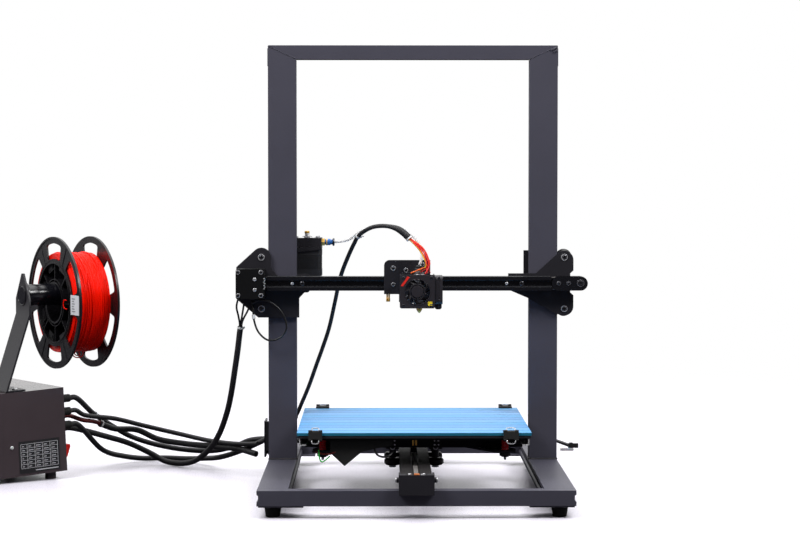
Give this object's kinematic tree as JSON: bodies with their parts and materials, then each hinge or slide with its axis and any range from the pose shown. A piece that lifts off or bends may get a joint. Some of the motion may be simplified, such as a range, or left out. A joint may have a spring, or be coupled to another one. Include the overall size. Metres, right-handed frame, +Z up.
{
  "type": "fdm printer",
  "caption": "Desktop fused-filament printer with a sliding heated bed, a portal frame, a driven gantry and hot end, and a separate control box that holds the filament spool.",
  "frame": {"origin": "centre of the footprint of everything but the cables, on the surface that the feet stand on", "axes": "+X from the control box towards the printer, along the gantry; +Y from the front to the back, along the bed's travel; +Z up"},
  "size_m": [1.0244, 0.6168, 0.6233],
  "materials": {
    "painted_frame": "satin",
    "black_metal": "satin",
    "motor_black": "satin",
    "black_plastic": "satin",
    "rubber": "matte",
    "wheel_nylon": "satin",
    "steel": "satin",
    "hotend_metal": "satin",
    "blue_tape": "matte",
    "red_filament": "gloss",
    "red_plastic": "gloss",
    "bare_steel": "satin",
    "circuit_board": "satin",
    "cable_sleeve": "matte",
    "white_tube": "gloss"
  },
  "bodies": {
    "frame": {"base_beam_left": "painted_frame", "base_beam_right": "painted_frame", "base_beam_front": "painted_frame", "base_beam_rear": "painted_frame", "foot_front_left": "rubber", "foot_front_right": "rubber", "foot_rear_left": "rubber", "foot_rear_right": "rubber", "upright_left": "painted_frame", "upright_right": "painted_frame", "top_beam": "painted_frame", "y_rail": "black_metal", "rail_front_bracket": "painted_frame", "y_motor": "motor_black", "z_motor": "motor_black", "control_box_cover": "painted_frame", "control_box_chassis": "painted_frame", "power_supply": "bare_steel", "mainboard": "circuit_board", "spool_holder": "black_metal", "y_motor_loom": "cable_sleeve", "x_motor_loom": "cable_sleeve", "hotend_loom": "cable_sleeve"},
    "bed": {"bed_surface": "blue_tape", "heated_plate": "black_metal", "y_carriage_plate": "black_metal"},
    "gantry": {"gantry_plate_left": "black_metal", "gantry_plate_right": "black_metal", "gantry_plate_rear": "black_metal", "x_beam": "black_metal", "x_motor": "motor_black", "x_motor_cover": "black_metal", "x_idler_bracket": "black_metal", "extruder_motor": "motor_black", "extruder_body": "black_plastic", "filament_tube": "white_tube"},
    "carriage": {"carriage_plate": "black_metal", "hotend": "hotend_metal", "fan_shroud": "black_plastic"},
    "fan": {"fan_rotor": "black_plastic"},
    "lever": {"extruder_lever": "black_metal"},
    "lead_screw": {"z_lead_screw": "steel"},
    "spool": {"spool": "black_plastic", "filament_coil": "red_filament"},
    "rocker": {"rocker_switch": "red_plastic"},
    "control_knob": {"control_knob": "black_plastic"},
    "bed_wheel_front_left": {"bed_wheel_front_left": "wheel_nylon"},
    "leveling_knob_front_left": {"leveling_knob_front_left": "black_plastic"},
    "bed_wheel_front_right": {"bed_wheel_front_right": "wheel_nylon"},
    "leveling_knob_front_right": {"leveling_knob_front_right": "black_plastic"},
    "bed_wheel_rear_left": {"bed_wheel_rear_left": "wheel_nylon"},
    "leveling_knob_rear_left": {"leveling_knob_rear_left": "black_plastic"},
    "bed_wheel_rear_right": {"bed_wheel_rear_right": "wheel_nylon"},
    "leveling_knob_rear_right": {"leveling_knob_rear_right": "black_plastic"},
    "gantry_wheel_left_top": {"gantry_wheel_left_top": "wheel_nylon"},
    "gantry_wheel_left_bottom": {"gantry_wheel_left_bottom": "wheel_nylon"},
    "gantry_wheel_left_inner": {"gantry_wheel_left_inner": "wheel_nylon"},
    "gantry_wheel_right_top": {"gantry_wheel_right_top": "wheel_nylon"},
    "gantry_wheel_right_bottom": {"gantry_wheel_right_bottom": "wheel_nylon"},
    "gantry_wheel_right_inner": {"gantry_wheel_right_inner": "wheel_nylon"}
  },
  "joints": [
    {"name": "y_slide", "type": "slide", "parent": "frame", "child": "bed", "axis": [0, 1, 0], "range_m": [-0.15, 0.15]},
    {"name": "z_slide", "type": "slide", "parent": "frame", "child": "gantry", "axis": [0, 0, 1], "range_m": [-0.145, 0.25], "deforming": ["x_motor_loom", "hotend_loom"]},
    {"name": "x_slide", "type": "slide", "parent": "gantry", "child": "carriage", "axis": [1, 0, 0], "range_m": [-0.15, 0.15], "deforming": ["filament_tube"]},
    {"name": "z_screw_spin", "type": "hinge", "parent": "frame", "child": "lead_screw", "pos_m": [0.07723, 0.065, 0.116], "axis": [0, 0, 1], "continuous": true},
    {"name": "fan_spin", "type": "hinge", "parent": "carriage", "child": "fan", "pos_m": [0.27123, -0.06, 0.279], "axis": [0, 1, 0], "continuous": true},
    {"name": "lever_press", "type": "hinge", "parent": "gantry", "child": "lever", "pos_m": [0.12123, 0.081, 0.344], "axis": [0, 0, 1], "range_deg": [-6, 0], "stiffness_Nm_per_rad": 0.3, "springref_deg": 5.73},
    {"name": "spool_spin", "type": "hinge", "parent": "frame", "child": "spool", "pos_m": [-0.22868, 0.11347, 0.2549], "axis": [0.8526, 0.5225, 0], "continuous": true},
    {"name": "rocker_tilt", "type": "hinge", "parent": "frame", "child": "rocker", "pos_m": [-0.24553, 0.09423, 0.03938], "axis": [-0.5736, 0.8192, 0], "range_deg": [-7, 7]},
    {"name": "control_knob_turn", "type": "hinge", "parent": "frame", "child": "control_knob", "pos_m": [-0.48644, 0.06593, 0.0472], "axis": [0.8183, 0.573, 0.0454], "continuous": true},
    {"name": "bed_wheel_front_left_spin", "type": "hinge", "parent": "bed", "child": "bed_wheel_front_left", "pos_m": [0.23673, -0.077, 0.0463], "axis": [0, 0, 1], "continuous": true},
    {"name": "leveling_knob_front_left_turn", "type": "hinge", "parent": "bed", "child": "leveling_knob_front_left", "pos_m": [0.14303, -0.1687, 0.065], "axis": [0, 0, 1], "continuous": true},
    {"name": "bed_wheel_front_right_spin", "type": "hinge", "parent": "bed", "child": "bed_wheel_front_right", "pos_m": [0.29573, -0.077, 0.0463], "axis": [0, 0, 1], "continuous": true},
    {"name": "leveling_knob_front_right_turn", "type": "hinge", "parent": "bed", "child": "leveling_knob_front_right", "pos_m": [0.38643, -0.1687, 0.065], "axis": [0, 0, 1], "continuous": true},
    {"name": "bed_wheel_rear_left_spin", "type": "hinge", "parent": "bed", "child": "bed_wheel_rear_left", "pos_m": [0.23673, -0.017, 0.0463], "axis": [0, 0, 1], "continuous": true},
    {"name": "leveling_knob_rear_left_turn", "type": "hinge", "parent": "bed", "child": "leveling_knob_rear_left", "pos_m": [0.14303, 0.0747, 0.065], "axis": [0, 0, 1], "continuous": true},
    {"name": "bed_wheel_rear_right_spin", "type": "hinge", "parent": "bed", "child": "bed_wheel_rear_right", "pos_m": [0.29573, -0.017, 0.0463], "axis": [0, 0, 1], "continuous": true},
    {"name": "leveling_knob_rear_right_turn", "type": "hinge", "parent": "bed", "child": "leveling_knob_rear_right", "pos_m": [0.38643, 0.0747, 0.065], "axis": [0, 0, 1], "continuous": true},
    {"name": "gantry_wheel_left_top_spin", "type": "hinge", "parent": "gantry", "child": "gantry_wheel_left_top", "pos_m": [0.05173, 0.03, 0.324], "axis": [0, 1, 0], "continuous": true},
    {"name": "gantry_wheel_left_bottom_spin", "type": "hinge", "parent": "gantry", "child": "gantry_wheel_left_bottom", "pos_m": [0.05173, 0.03, 0.251], "axis": [0, 1, 0], "continuous": true},
    {"name": "gantry_wheel_left_inner_spin", "type": "hinge", "parent": "gantry", "child": "gantry_wheel_left_inner", "pos_m": [0.11073, 0.03, 0.2875], "axis": [0, 1, 0], "continuous": true},
    {"name": "gantry_wheel_right_top_spin", "type": "hinge", "parent": "gantry", "child": "gantry_wheel_right_top", "pos_m": [0.48073, 0.03, 0.324], "axis": [0, 1, 0], "continuous": true},
    {"name": "gantry_wheel_right_bottom_spin", "type": "hinge", "parent": "gantry", "child": "gantry_wheel_right_bottom", "pos_m": [0.48073, 0.03, 0.251], "axis": [0, 1, 0], "continuous": true},
    {"name": "gantry_wheel_right_inner_spin", "type": "hinge", "parent": "gantry", "child": "gantry_wheel_right_inner", "pos_m": [0.42173, 0.03, 0.2875], "axis": [0, 1, 0], "continuous": true}
  ],
  "couplings": [
    {"joint": "z_screw_spin", "follows": "z_slide", "rad_per_m": 785.4},
    {"joint": "bed_wheel_front_left_spin", "follows": "y_slide", "rad_per_m": -105.26},
    {"joint": "bed_wheel_front_right_spin", "follows": "y_slide", "rad_per_m": 105.26},
    {"joint": "bed_wheel_rear_left_spin", "follows": "y_slide", "rad_per_m": -105.26},
    {"joint": "bed_wheel_rear_right_spin", "follows": "y_slide", "rad_per_m": 105.26},
    {"joint": "gantry_wheel_left_top_spin", "follows": "z_slide", "rad_per_m": 105.26},
    {"joint": "gantry_wheel_left_bottom_spin", "follows": "z_slide", "rad_per_m": 105.26},
    {"joint": "gantry_wheel_left_inner_spin", "follows": "z_slide", "rad_per_m": -105.26},
    {"joint": "gantry_wheel_right_top_spin", "follows": "z_slide", "rad_per_m": -105.26},
    {"joint": "gantry_wheel_right_bottom_spin", "follows": "z_slide", "rad_per_m": -105.26},
    {"joint": "gantry_wheel_right_inner_spin", "follows": "z_slide", "rad_per_m": 105.26}
  ]
}
